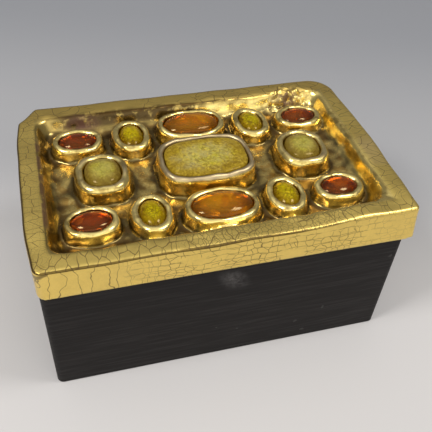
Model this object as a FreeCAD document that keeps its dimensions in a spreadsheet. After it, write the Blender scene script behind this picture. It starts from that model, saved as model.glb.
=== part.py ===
"""A black wooden box with a loose ceramic lid that holds thirteen glass stones.

Lengths are in millimetres. The origin lies on the table under the middle of the lid, X runs to
the right, Y to the back and Z up. A length runs along X, a width along Y.
"""
import FreeCAD, Part
import math
import os

import Sketcher

# Each row holds a size's name, its value and what it measures.
SIZES = [
    ("lid_length", 162, "ceramic lid, left to right"),
    ("lid_width", 104, "ceramic lid, front to back"),
    ("lid_height", 15.8, "skirt of the lid, underside to rim"),
    ("lid_corner_round", 6, "upright corners of the lid"),
    ("lid_corner_cut", 10, "clipped corner at the back left, at the rim"),
    ("lid_corner_lean", 3.5, "how much smaller that cut is at the underside"),
    ("lid_overhang", 2.5, "how far the lid stands out past the front and back of the box"),
    ("end_overhang", 3.5, "how far the lid stands out past the ends of the box"),
    ("rim_width", 9, "flat rim round the tray"),
    ("rim_edge_round", 1.2, "inner and outer edge of the rim"),
    ("tray_recess", 7.5, "tray floor below the rim"),
    ("tray_wall_run", 3.8, "how far the tray wall leans in from rim to floor"),
    ("tray_corner_round", 5, "corners of the tray"),
    ("collar_flare", 0.8, "how far a collar's foot stands out past its lip"),
    ("lip_bevel_share", 0.4, "bevel on each edge of a lip, as a share of its collar's wall"),
    ("corner_limit_share", 0.45, "largest corner of a square stone, as a share of its side"),
    ("well_depth", 3.4, "well in each collar, below its lip"),
    ("stone_clearance", 0.2, "gap round a stone in its well"),
    ("seat_share", 0.3, "part of an oval stone below its widest line, as a share of its crown"),
    ("corner_margin", 3.3, "between the lip of a corner collar and the end of the tray floor"),
    ("cushion_margin", 11.3, "between the lip of a cushion collar and the end of the tray floor"),
    ("row_margin", 4.5, "between the lip of a corner collar and the side of the tray floor"),
    ("long_margin", 0.4, "between the lip of a long collar and the side of the tray floor"),
    ("long_gap", 3, "between the lips of the centre and the long collars"),
    ("centre_length", 36.5, "centre stone"),
    ("centre_corner", 9, "upright corners of the centre stone"),
    ("centre_thickness", 4, "centre stone"),
    ("centre_crown", 1.6, "rounded upper edge of the centre stone"),
    ("centre_wall", 2.4, "collar of the centre stone"),
    ("centre_height", 9.6, "collar of the centre stone, above the tray floor"),
    ("cushion_length", 15.6, "cushion stone"),
    ("cushion_width", 17.6, "cushion stone"),
    ("cushion_corner", 6.6, "upright corners of a cushion stone"),
    ("cushion_thickness", 5.2, "cushion stone"),
    ("cushion_crown", 3.4, "rounded upper edge of a cushion stone"),
    ("cushion_wall", 3.6, "collar of a cushion stone"),
    ("cushion_height", 8.3, "collar of a cushion stone, above the tray floor"),
    ("long_length", 26.5, "long stone"),
    ("long_width", 15.8, "long stone"),
    ("long_crown", 4.4, "top of a long stone above its widest line"),
    ("long_wall", 2.7, "collar of a long stone"),
    ("long_height", 6.9, "collar of a long stone, above the tray floor"),
    ("upright_length", 11.2, "upright stone"),
    ("upright_width", 16.3, "upright stone"),
    ("upright_crown", 3.8, "top of an upright stone above its widest line"),
    ("upright_wall", 2.8, "collar of an upright stone"),
    ("upright_height", 5.9, "collar of an upright stone, above the tray floor"),
    ("corner_length", 17.8, "corner stone"),
    ("corner_width", 12.2, "corner stone"),
    ("corner_crown", 3.8, "top of a corner stone above its widest line"),
    ("corner_wall", 2.6, "collar of a corner stone"),
    ("corner_height", 5.9, "collar of a corner stone, above the tray floor"),
    ("board_thickness", 6, "board under the lid"),
    ("board_clearance", 0.8, "gap between that board and the walls"),
    ("board_lead", 1.2, "bevel on the board's lower edges"),
    ("box_height", 61.5, "walls of the box"),
    ("box_corner_round", 2.8, "upright outer corners of the box"),
    ("edge_ease", 0.6, "rounding along the upper and lower outer edges of the box"),
    ("wall", 7, "thickness of the walls"),
    ("lap_share", 0.5, "lap over the side walls, as a share of the wall"),
    ("round_limit_share", 0.95, "largest corner rounding, as a share of the lap"),
    ("groove_height", 5, "groove for the bottom panel, above the table"),
    ("groove_share", 0.8, "depth of that groove, as a share of what the lap leaves"),
    ("panel_thickness", 3, "bottom panel"),
    ("panel_clearance", 0.1, "gap round the bottom panel in its groove"),
    ("lining_thickness", 1, "felt on the bottom panel"),
    ("lining_clearance", 0.3, "gap between the felt and the walls"),
    ("overrun", 0.5, "how far a cut or a join runs past the face it crosses"),
]

# Sizes and places that follow from those rows.
BOX_LENGTH = "(sizes.lid_length - 2 * sizes.end_overhang)"
BOX_WIDTH = "(sizes.lid_width - 2 * sizes.lid_overhang)"
INNER_LENGTH = f"({BOX_LENGTH} - 2 * sizes.wall)"
INNER_WIDTH = f"({BOX_WIDTH} - 2 * sizes.wall)"
LAP = "(sizes.wall * sizes.lap_share)"
GROOVE_DEPTH = f"((sizes.wall - {LAP}) * sizes.groove_share)"
PANEL_REACH = f"({GROOVE_DEPTH} - sizes.panel_clearance)"
TRAY_FLOOR = "(sizes.lid_height - sizes.tray_recess)"
TRAY_LENGTH = "(sizes.lid_length - 2 * sizes.rim_width)"
TRAY_WIDTH = "(sizes.lid_width - 2 * sizes.rim_width)"

FLOOR_X = f"({TRAY_LENGTH} / 2 - sizes.tray_wall_run)"
FLOOR_Y = f"({TRAY_WIDTH} / 2 - sizes.tray_wall_run)"

# The layout runs from the ends of the tray floor inwards, and the centre stone fills what is left.
CUSHION_X = (f"({FLOOR_X} - sizes.cushion_margin - sizes.cushion_wall"
             " - sizes.cushion_length / 2)")
CORNER_X = f"({FLOOR_X} - sizes.corner_margin - sizes.corner_wall - sizes.corner_length / 2)"
CORNER_LIP_X = f"({CORNER_X} - sizes.corner_length / 2 - sizes.corner_wall)"
UPRIGHT_X = f"(({CORNER_LIP_X} + sizes.long_length / 2 + sizes.long_wall) / 2)"
ROW_Y = f"({FLOOR_Y} - sizes.row_margin - sizes.corner_wall - sizes.corner_width / 2)"
LONG_Y = f"({FLOOR_Y} - sizes.long_margin - sizes.long_wall - sizes.long_width / 2)"
CENTRE_WIDTH = (f"(2 * ({LONG_Y} - sizes.long_width / 2 - sizes.long_wall - sizes.long_gap"
                " - sizes.centre_wall))")

# Each kind of stone, with the place of its collar at the back right and the planes that mirror it.
ACROSS, ALONG = "YZ_Plane", "XZ_Plane"
KINDS = {
    "centre": ("0", "0", ()),
    "cushion": (CUSHION_X, "0", (ACROSS,)),
    "long": ("0", LONG_Y, (ALONG,)),
    "upright": (UPRIGHT_X, ROW_Y, (ACROSS, ALONG)),
    "corner": (CORNER_X, ROW_Y, (ACROSS, ALONG)),
}
SQUARE_KINDS = ("centre", "cushion")
SIDES = {"left": "-", "right": ""}
ENDS = {"back": "", "front": "-"}

# Sketch point numbers and the sketch's own origin.
START, END, MIDDLE = range(1, 4)
ORIGIN = -1
NEAR = 1e-4

doc = FreeCAD.newDocument("lidded_box")
sub_parts = []


def fill_sheet():
    """Write every size to the sheet, with its name as the cell's alias."""
    sheet = doc.addObject("Spreadsheet::Sheet", "sizes")
    for row, (alias, value, meaning) in enumerate(SIZES, start=1):
        sheet.set(f"A{row}", alias)
        sheet.set(f"B{row}", str(value))
        sheet.setAlias(f"B{row}", alias)
        sheet.set(f"C{row}", meaning)
    doc.recompute()
    return sheet


sheet = fill_sheet()


def value_of(text):
    """Return the present value of an expression."""
    return float(sheet.evalExpression(text))


def bind(item, **expressions):
    """Bind properties of an object; a double underscore stands for a dot."""
    for name, text in expressions.items():
        item.setExpression(name.replace("__", "."), text)


def place(item, x="0", y="0", z="0"):
    """Bind where an object stands."""
    bind(item, Placement__Base__x=x, Placement__Base__y=y, Placement__Base__z=z)


def keep(item):
    """List an object as a sub-part, whose label names its file."""
    sub_parts.append(item)
    return item


def new_body(label):
    """Start a body under its label."""
    body = doc.addObject("PartDesign::Body", label)
    body.Label = label
    return body


def origin_plane(body, role):
    """Return one of the planes through a body's own origin."""
    planes = [plane for plane in body.Origin.OriginFeatures if plane.Role == role]
    return planes[0]


def new_sketch(body, name, x="0", y="0", z="0"):
    """Start a level sketch with its origin at x, y, z of its body."""
    sketch = body.newObject("Sketcher::SketchObject", f"{body.Label}_{name}")
    sketch.AttachmentSupport = [(origin_plane(body, "XY_Plane"), "")]
    sketch.MapMode = "FlatFace"
    bind(sketch, AttachmentOffset__Base__x=x, AttachmentOffset__Base__y=y,
         AttachmentOffset__Base__z=z)
    return sketch


def constrain(sketch, *parts):
    """Add one constraint and return its number."""
    return sketch.addConstraint(Sketcher.Constraint(*parts))


def measure(sketch, text, *parts):
    """Add one constraint whose value is bound to an expression."""
    number = constrain(sketch, *parts, value_of(text))
    sketch.setExpression(f"Constraints[{number}]", text)


def draw_loop(sketch, corners):
    """Draw straight sides round the corners and return the first side's number."""
    first = sketch.GeometryCount
    for corner, following in zip(corners, corners[1:] + corners[:1]):
        sketch.addGeometry(Part.LineSegment(corner, following))
    count = len(corners)
    for side in range(count):
        constrain(sketch, "Coincident", first + side, END, first + (side + 1) % count, START)
    return first


def draw_rectangle(sketch, left, right, front, back):
    """Draw a rectangle with its four sides at the given expressions."""
    x_low, x_high, y_low, y_high = (value_of(text) for text in (left, right, front, back))
    corners = [FreeCAD.Vector(x, y) for x, y in
               ((x_low, y_low), (x_high, y_low), (x_high, y_high), (x_low, y_high))]
    first = draw_loop(sketch, corners)
    for side in (first, first + 2):
        constrain(sketch, "Horizontal", side)
    for side in (first + 1, first + 3):
        constrain(sketch, "Vertical", side)
    for side, x_text, y_text in ((first, left, front), (first + 2, right, back)):
        measure(sketch, x_text, "DistanceX", ORIGIN, START, side, START)
        measure(sketch, y_text, "DistanceY", ORIGIN, START, side, START)


def draw_centred(sketch, length, width):
    """Draw a rectangle centred on the sketch's origin."""
    draw_rectangle(sketch, f"-({length}) / 2", f"({length}) / 2",
                   f"-({width}) / 2", f"({width}) / 2")


def draw_rounded(sketch, length, width, radius):
    """Draw a rectangle with round corners, centred on the sketch's origin."""
    bend = value_of(radius)
    x_flat = value_of(length) / 2 - bend
    y_flat = value_of(width) / 2 - bend
    up = FreeCAD.Vector(0, 0, 1)
    middles = [FreeCAD.Vector(x, y) for x, y in
               ((x_flat, -y_flat), (x_flat, y_flat), (-x_flat, y_flat), (-x_flat, -y_flat))]
    quarter = math.pi / 2
    arcs = []
    for turn, middle in enumerate(middles):
        circle = Part.Circle(middle, up, bend)
        arcs.append(Part.ArcOfCircle(circle, (turn - 1) * quarter, turn * quarter))
    for arc in arcs:
        sketch.addGeometry(arc)
    for turn, arc in enumerate(arcs):
        following = arcs[(turn + 1) % 4]
        line = sketch.addGeometry(Part.LineSegment(arc.EndPoint, following.StartPoint))
        constrain(sketch, "Tangent", turn, END, line, START)
        constrain(sketch, "Tangent", line, END, (turn + 1) % 4, START)
        constrain(sketch, "Horizontal" if turn % 2 else "Vertical", line)
        if turn:
            constrain(sketch, "Equal", 0, turn)
    measure(sketch, radius, "Radius", 0)
    constrain(sketch, "Symmetric", 0, MIDDLE, 2, MIDDLE, ORIGIN, START)
    measure(sketch, f"({length}) - 2 * ({radius})", "DistanceX", 2, MIDDLE, 1, MIDDLE)
    measure(sketch, f"({width}) - 2 * ({radius})", "DistanceY", 0, MIDDLE, 1, MIDDLE)


def draw_oval(sketch, length, width):
    """Draw an ellipse centred on the sketch's origin."""
    x_end = FreeCAD.Vector(value_of(length) / 2, 0)
    y_end = FreeCAD.Vector(0, value_of(width) / 2)
    lies_along = x_end.Length >= y_end.Length
    ends = (x_end, y_end) if lies_along else (y_end, x_end)
    sketch.addGeometry(Part.Ellipse(*ends, FreeCAD.Vector()))
    sketch.exposeInternalGeometry(0)
    constrain(sketch, "Coincident", 0, MIDDLE, ORIGIN, START)
    constrain(sketch, "Horizontal" if lies_along else "Vertical", 1)
    axes = (length, width) if lies_along else (width, length)
    for axis, text in enumerate(axes, start=1):
        measure(sketch, text, "Distance", axis)


def draw_outline(sketch, kind, growth="0"):
    """Draw the outline of a kind of stone, grown outwards by an expression."""
    stone_length = f"sizes.{kind}_length"
    stone_width = CENTRE_WIDTH if kind == "centre" else f"sizes.{kind}_width"
    length = f"{stone_length} + 2 * ({growth})"
    width = f"{stone_width} + 2 * ({growth})"
    if kind in SQUARE_KINDS:
        limit = f"min({stone_length}; {stone_width}) * sizes.corner_limit_share"
        draw_rounded(sketch, length, width, f"min(sizes.{kind}_corner; {limit}) + ({growth})")
    else:
        draw_oval(sketch, length, width)


def pad(body, sketch, height):
    """Raise a sketch by an expression."""
    feature = body.newObject("PartDesign::Pad", f"{sketch.Label}_pad")
    feature.Profile = sketch
    bind(feature, Length=height)
    doc.recompute()
    return feature


def pocket(body, sketch, depth, upwards=False):
    """Cut a sketch into the body and make sure that the cut took something away."""
    before = body.Tip.Shape.Volume
    feature = body.newObject("PartDesign::Pocket", f"{sketch.Label}_cut")
    feature.Profile = sketch
    feature.Reversed = upwards
    bind(feature, Length=depth)
    doc.recompute()
    if feature.Shape.Volume >= before:
        raise ValueError(f"{feature.Label} cuts nothing")
    return feature


def loft(body, kind, lowest, *others):
    """Join sketches with straight flanks, adding to the body or cutting it."""
    feature = body.newObject(f"PartDesign::{kind}", f"{lowest.Label}_loft")
    feature.Profile = lowest
    feature.Sections = list(others)
    feature.Ruled = True
    doc.recompute()
    return feature


def mirror(body, feature, roles):
    """Repeat a feature on the other side of one or two of the body's own planes."""
    if not roles:
        return
    pattern = body.newObject("PartDesign::MultiTransform", f"{feature.Label}_mirrored")
    pattern.Originals = [feature]
    steps = []
    for role in roles:
        step = body.newObject("PartDesign::Mirrored", f"{feature.Label}_{role}")
        step.MirrorPlane = (origin_plane(body, role), [""])
        steps.append(step)
    pattern.Transformations = steps
    body.Tip = pattern
    doc.recompute()


def edges_where(feature, wanted):
    """Return the names of a feature's edges that a test picks by their bounding box."""
    return [f"Edge{number}" for number, edge in enumerate(feature.Shape.Edges, start=1)
            if wanted(edge.BoundBox)]


def dress(body, kind, name, wanted, **expressions):
    """Round or bevel the edges that a test picks."""
    base = body.Tip
    feature = body.newObject(f"PartDesign::{kind}", f"{body.Label}_{name}")
    feature.Base = (base, edges_where(base, wanted))
    bind(feature, **expressions)
    doc.recompute()
    return feature


def is_near(first, second):
    """Say whether two lengths are the same."""
    return abs(first - second) < NEAR


def is_level(box, height):
    """Say whether an edge lies at one height."""
    return is_near(box.ZMin, height) and is_near(box.ZMax, height)


def make_wall(label, length, laps, turn, x="0", y="0"):
    """Make one wall board with its outer face on its own X axis, then turn and place it."""
    body = keep(new_body(label))
    outline = new_sketch(body, "outline")
    draw_rectangle(outline, f"-({length}) / 2", f"({length}) / 2", "0", "sizes.wall")
    pad(body, outline, "sizes.box_height")
    if laps:
        cut_laps(body, length)
    cut_groove(body, length)
    ease_edges(body)
    body.Placement.Rotation = FreeCAD.Rotation(turn, 0, 0)
    place(body, x, y)


def cut_laps(body, length):
    """Cut the rebates that take the side walls, and round the outer corners."""
    rebates = new_sketch(body, "rebates")
    far = f"({length}) / 2 + sizes.overrun"
    near = f"({length}) / 2 - sizes.wall"
    past = "sizes.wall + sizes.overrun"
    draw_rectangle(rebates, near, far, LAP, past)
    draw_rectangle(rebates, f"-({far})", f"-({near})", LAP, past)
    pocket(body, rebates, "sizes.box_height", upwards=True)
    half = value_of(length) / 2

    def is_outer_corner(box):
        return is_near(box.XLength, 0) and is_near(box.YMax, 0) and is_near(abs(box.XMin), half)

    radius = f"min(sizes.box_corner_round; {LAP} * sizes.round_limit_share)"
    dress(body, "Fillet", "corners", is_outer_corner, Radius=radius)


def cut_groove(body, length):
    """Cut the groove for the bottom panel along the inner face."""
    groove = new_sketch(body, "groove", z="sizes.groove_height")
    far = f"({length}) / 2 + sizes.overrun"
    draw_rectangle(groove, f"-({far})", far, f"sizes.wall - {GROOVE_DEPTH}",
                   "sizes.wall + sizes.overrun")
    pocket(body, groove, "sizes.panel_thickness + sizes.panel_clearance", upwards=True)


def ease_edges(body):
    """Round the upper and lower edges of the outer face a little."""
    top = value_of("sizes.box_height")
    outer = value_of(LAP)

    def is_outer_edge(box):
        return (is_level(box, 0) or is_level(box, top)) and box.Center.y < outer - NEAR

    dress(body, "Fillet", "eased", is_outer_edge, Radius="sizes.edge_ease")


def make_walls():
    """Make the four walls: the front and back lap over the ends of the sides."""
    side_length = f"{BOX_WIDTH} - 2 * {LAP}"
    make_wall("front_wall", BOX_LENGTH, True, 0, y=f"-{BOX_WIDTH} / 2")
    make_wall("back_wall", BOX_LENGTH, True, 180, y=f"{BOX_WIDTH} / 2")
    make_wall("left_wall", side_length, False, -90, x=f"-{BOX_LENGTH} / 2")
    make_wall("right_wall", side_length, False, 90, x=f"{BOX_LENGTH} / 2")


def make_sheet_piece(label, length, width, thickness, height):
    """Make a plain rectangular sheet at a height."""
    body = keep(new_body(label))
    outline = new_sketch(body, "outline")
    draw_centred(outline, length, width)
    pad(body, outline, thickness)
    place(body, z=height)
    return body


def make_bottom():
    """Make the panel in the walls' groove and the felt that lies on it."""
    make_sheet_piece("bottom_panel", f"{INNER_LENGTH} + 2 * {PANEL_REACH}",
                     f"{INNER_WIDTH} + 2 * {PANEL_REACH}",
                     "sizes.panel_thickness", "sizes.groove_height")
    make_sheet_piece("floor_lining", f"{INNER_LENGTH} - 2 * sizes.lining_clearance",
                     f"{INNER_WIDTH} - 2 * sizes.lining_clearance",
                     "sizes.lining_thickness", "sizes.groove_height + sizes.panel_thickness")


def make_lid_board():
    """Make the board under the lid that drops between the walls."""
    body = make_sheet_piece("lid_board", f"{INNER_LENGTH} - 2 * sizes.board_clearance",
                            f"{INNER_WIDTH} - 2 * sizes.board_clearance",
                            "sizes.board_thickness", "sizes.box_height - sizes.board_thickness")
    dress(body, "Chamfer", "lead", lambda box: is_level(box, 0), Size="sizes.board_lead")


def make_slab(body):
    """Make the lid's slab, with three round corners and a clipped one."""
    outline = new_sketch(body, "outline")
    draw_centred(outline, "sizes.lid_length", "sizes.lid_width")
    pad(body, outline, "sizes.lid_height")

    def is_rounded(box):
        upright = is_near(box.ZLength, value_of("sizes.lid_height"))
        return upright and not (box.XMin < 0 < box.YMin)

    dress(body, "Fillet", "corners", is_rounded, Radius="sizes.lid_corner_round")
    lower = new_sketch(body, "clip_foot")
    draw_corner(lower, "sizes.lid_corner_cut - sizes.lid_corner_lean")
    upper = new_sketch(body, "clip_top", z="sizes.lid_height")
    draw_corner(upper, "sizes.lid_corner_cut")
    loft(body, "SubtractiveLoft", lower, upper)


def draw_corner(sketch, leg):
    """Draw the triangle that is cut from the slab's back left corner."""
    left = "-(sizes.lid_length / 2 + sizes.overrun)"
    back = "sizes.lid_width / 2 + sizes.overrun"
    reach = f"({leg} + 2 * sizes.overrun)"
    x_corner, y_corner, span = value_of(left), value_of(back), value_of(reach)
    corners = [FreeCAD.Vector(x, y) for x, y in
               ((x_corner, y_corner), (x_corner, y_corner - span), (x_corner + span, y_corner))]
    upright = draw_loop(sketch, corners)
    level = upright + 2
    constrain(sketch, "Vertical", upright)
    constrain(sketch, "Horizontal", level)
    measure(sketch, left, "DistanceX", ORIGIN, START, upright, START)
    measure(sketch, back, "DistanceY", ORIGIN, START, upright, START)
    for side in (upright, level):
        measure(sketch, reach, "Distance", side)


def cut_tray(body):
    """Hollow the slab as a tray with leaning walls and round its rim."""
    floor = new_sketch(body, "tray_floor", z=TRAY_FLOOR)
    draw_rounded(floor, f"{TRAY_LENGTH} - 2 * sizes.tray_wall_run",
                 f"{TRAY_WIDTH} - 2 * sizes.tray_wall_run", "sizes.tray_corner_round")
    mouth = new_sketch(body, "tray_mouth", z="sizes.lid_height")
    draw_rounded(mouth, TRAY_LENGTH, TRAY_WIDTH, "sizes.tray_corner_round")
    loft(body, "SubtractiveLoft", floor, mouth)
    rim = value_of("sizes.lid_height")
    dress(body, "Fillet", "rim", lambda box: is_level(box, rim), Radius="sizes.rim_edge_round")


def raise_collar(body, kind, x, y, planes):
    """Raise the collars of one kind of stone from the tray floor, with a bevel round each lip."""
    wall = f"sizes.{kind}_wall"
    lip = f"{TRAY_FLOOR} + sizes.{kind}_height"
    bevel = f"{wall} * sizes.lip_bevel_share"
    rings = (
        ("foot", f"{TRAY_FLOOR} - sizes.overrun", f"{wall} + sizes.collar_flare"),
        ("shoulder", f"{lip} - {bevel}", wall),
        ("lip", lip, f"{wall} - {bevel}"),
    )
    sections = []
    for ring, height, growth in rings:
        sketch = new_sketch(body, f"{kind}_{ring}", x, y, height)
        draw_outline(sketch, kind, growth)
        sections.append(sketch)
    mirror(body, loft(body, "AdditiveLoft", *sections), planes)


def sink_well(body, kind, x, y, planes):
    """Sink the wells of one kind of stone into its collars."""
    well = new_sketch(body, f"{kind}_well", x, y, f"{TRAY_FLOOR} + sizes.{kind}_height")
    draw_outline(well, kind, "sizes.stone_clearance")
    mirror(body, pocket(body, well, "sizes.well_depth"), planes)


def make_lid_tile():
    """Make the ceramic lid: slab, tray and collars are one fired piece."""
    body = keep(new_body("lid_tile"))
    make_slab(body)
    cut_tray(body)
    for kind, where in KINDS.items():
        raise_collar(body, kind, *where)
    for kind, where in KINDS.items():
        sink_well(body, kind, *where)
    place(body, z="sizes.box_height")


def well_floor(kind):
    """Return the height at which a kind of stone is seated."""
    return f"sizes.box_height + {TRAY_FLOOR} + sizes.{kind}_height - sizes.well_depth"


def make_square_stone(label, kind, x, y):
    """Make a flat-backed stone with a rounded upper edge."""
    body = keep(new_body(label))
    outline = new_sketch(body, "outline")
    draw_outline(outline, kind)
    pad(body, outline, f"sizes.{kind}_thickness")
    top = value_of(f"sizes.{kind}_thickness")
    dress(body, "Fillet", "crown", lambda box: is_level(box, top), Radius=f"sizes.{kind}_crown")
    place(body, x, y, well_floor(kind))


def make_oval_stone(label, kind, x, y):
    """Make a domed oval stone, cut flat a little below its widest line."""
    stone = keep(doc.addObject("Part::Ellipsoid", label))
    stone.Label = label
    bind(stone, Radius1=f"sizes.{kind}_crown", Radius2=f"sizes.{kind}_length / 2",
         Radius3=f"sizes.{kind}_width / 2", Angle1="-asin(sizes.seat_share)")
    place(stone, x, y, f"{well_floor(kind)} + sizes.{kind}_crown * sizes.seat_share")


def make_stones():
    """Make every stone in its well, named by its kind and its place."""
    for kind, (x, y, planes) in KINDS.items():
        make = make_square_stone if kind in SQUARE_KINDS else make_oval_stone
        ends = ENDS if ALONG in planes else {"": ""}
        sides = SIDES if ACROSS in planes else {"": ""}
        for end, y_sign in ends.items():
            for side, x_sign in sides.items():
                label = "_".join(word for word in (kind, "stone", end, side) if word)
                make(label, kind, x_sign + x, y_sign + y)


def check_document():
    """Stop if any object failed or any sub-part isn't one valid solid."""
    failed = [item.Label for item in doc.Objects if {"Invalid", "Error"} & set(item.State)]
    if failed:
        raise ValueError(f"failed objects: {failed}")
    for part in sub_parts:
        shape = part.Shape
        if shape.isNull() or not shape.isValid() or len(shape.Solids) != 1:
            raise ValueError(f"{part.Label} isn't one valid solid")


def write_parts():
    """Write each sub-part to a file under its label."""
    os.makedirs("parts", exist_ok=True)
    for part in sub_parts:
        part.Shape.exportStep(f"parts/{part.Label}.step")
        print(part.Label, round(part.Shape.Volume))


make_walls()
make_bottom()
make_lid_board()
make_lid_tile()
make_stones()
doc.recompute()
check_document()
write_parts()
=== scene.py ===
"""Dress the jewelled box: a black wooden box under a gilded ceramic lid set with glass stones."""

import math

import bmesh
import bpy
from bpy.props import FloatProperty, FloatVectorProperty, PointerProperty
from mathutils import Matrix, Vector, noise


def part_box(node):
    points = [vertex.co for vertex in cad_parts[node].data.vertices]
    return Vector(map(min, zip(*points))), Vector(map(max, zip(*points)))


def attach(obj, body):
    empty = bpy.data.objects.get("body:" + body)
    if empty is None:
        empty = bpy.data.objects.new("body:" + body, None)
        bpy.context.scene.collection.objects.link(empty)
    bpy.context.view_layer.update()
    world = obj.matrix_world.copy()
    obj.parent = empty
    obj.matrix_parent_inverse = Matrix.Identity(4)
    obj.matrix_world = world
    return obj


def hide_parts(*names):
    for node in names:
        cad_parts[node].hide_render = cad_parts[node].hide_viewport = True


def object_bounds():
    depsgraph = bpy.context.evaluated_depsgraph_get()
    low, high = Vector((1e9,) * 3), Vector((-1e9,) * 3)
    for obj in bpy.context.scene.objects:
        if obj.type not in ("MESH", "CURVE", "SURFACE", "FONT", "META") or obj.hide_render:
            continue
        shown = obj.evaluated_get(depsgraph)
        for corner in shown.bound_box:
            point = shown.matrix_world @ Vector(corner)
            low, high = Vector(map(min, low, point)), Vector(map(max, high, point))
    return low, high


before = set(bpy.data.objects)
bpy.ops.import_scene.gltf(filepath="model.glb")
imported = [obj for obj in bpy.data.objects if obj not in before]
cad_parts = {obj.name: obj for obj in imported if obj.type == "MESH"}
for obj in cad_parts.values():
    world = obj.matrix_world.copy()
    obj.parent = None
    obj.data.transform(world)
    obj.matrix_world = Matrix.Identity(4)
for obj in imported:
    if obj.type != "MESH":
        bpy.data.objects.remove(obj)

bl_info = {
    "name": "Jewelled box",
    "version": (1, 0, 0),
    "blender": (4, 5, 0),
    "location": "3D View > Sidebar > Jewelled box",
    "description": "Dresses a wooden box whose gilded ceramic lid holds glass stones",
    "category": "Object",
}

MM = 0.001
CAD_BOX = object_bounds()
TILE_LOW, TILE_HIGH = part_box("lid_tile")
LINING_LOW, LINING_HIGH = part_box("floor_lining")

# What the meshes store for their finishes.
IN_STONE = "in_stone"
HOLLOW = "hollow"
UPWARD = "upward"

# Boards that share a finish.
LONG_BOARDS = ("front_wall", "back_wall")
SHORT_BOARDS = ("left_wall", "right_wall")
INNER_BOARDS = ("bottom_panel", "lid_board")

# Shares of a stone and its collar: the seat, how square the lip and the outside are, the waist,
# the crown, the drops inside the lip, and how far the foot's flare has come in at its rise.
SEAT_SHARE = 0.35
LIP_SHARE = 0.78
SQUARER_SHARE = 0.9
WAIST_SHARE = 0.45
CROWN_SHARE = 0.25
DROP_SHARES = (0.25, 0.6)
FLARE_SHARE = 0.4

# How far a collar's foot is sunk in the tray's floor, and how far its flare rises.
FOOT_SINK = 1 * MM
FOOT_RISE = 0.7 * MM

# Shares of the lining's thickness: the felt itself, and how far its face wanders in its waves.
FELT_SHARE = 0.8
NAP_SHARE = 0.12
NAP_SIZE = 9 * MM

# How finely the meshes are divided. The turns over a lip are in degrees.
LIP_TURNS = (0, 20, 40, 60, 75, 90)
RING_SEGMENTS = 72
ROUND_SEGMENTS = 6
EDGE_SEGMENTS = 4
STONE_SEGMENTS = 64
STONE_RINGS = 40
FELT_GRID = 2 * MM

# Rounds of smoothing: of the fused clay, and of the copy that its hollows are measured from.
CLAY_ROUNDS = 3
HOLLOW_ROUNDS = 40

# Seed of the hand-shaped waves, so that each run shapes the same lid, and the size of the waves
# and of the glaze's lumps.
HAND_SEED = 7
WAVE_SIZE = 16 * MM
LUMP_SIZE = 5 * MM

# The crawled patch at the tray's back right: its middle, its height and grain, how much longer it
# is than deep, and where it starts and ends to fade.
CRAWL_X = 53 * MM
CRAWL_Y = 41.5 * MM
CRAWL_HEIGHT = 1.8 * MM
CRAWL_GRAIN = 2.2 * MM
CRAWL_STRETCH = 1.7
CRAWL_FADE = (4 * MM, 7.5 * MM)

# Streaks per metre in the stained wood, across the grain and along it: fine ones and broad bands.
GRAIN_STREAKS = (1100, 40)
BAND_STREAKS = (90, 5)

# Gains on red, green and blue: for the painted glowing middle, the darker tint, and the highlights.
PAINTED_GLOW_GAINS = (1.3, 1.6, 1.2)
# The darker tint colours grains and veins, and paints shade at the girdle.
DEEP_AND_SHADE_GAINS = (0.22, 0.12, 0.1)
HIGHLIGHT_TINT = (1.0, 0.74, 0.38, 1.0)

# Half the side of the studio floor, in metres.
FLOOR_REACH = 3.0

# Softboxes: where each stands and its power in watts. Both point at the same place.
SOFTBOXES = {"left_softbox": ((-0.46, -0.13, 0.70), 3.5),
             "right_softbox": ((0.38, -0.14, 0.76), 2.3)}
SOFTBOX_AIM = (0.0, -0.02, 0.03)

# Where the photograph was taken from, the camera's turns in degrees, and its sensor in millimetres.
CAMERA_PLACE = (-0.06091, -0.20587, 0.25547)
CAMERA_HEADING = -18.194
CAMERA_TILT = 45.207
CAMERA_ROLL = 4.479
SENSOR_WIDTH = 36.0

# Corners of the lid tile in millimetres, by whether they lie right and back.
RIM_CORNERS = {(False, False): (-80.2, -51.5), (True, False): (79.6, -50.0),
               (True, True): (77.8, 52.0), (False, True): (-80.0, 51.5)}
FOOT_CORNERS = {(False, False): (-80.2, -51.2), (True, False): (81.0, -51.0),
                (True, True): (79.0, 52.0), (False, True): (-80.0, 51.5)}
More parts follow.
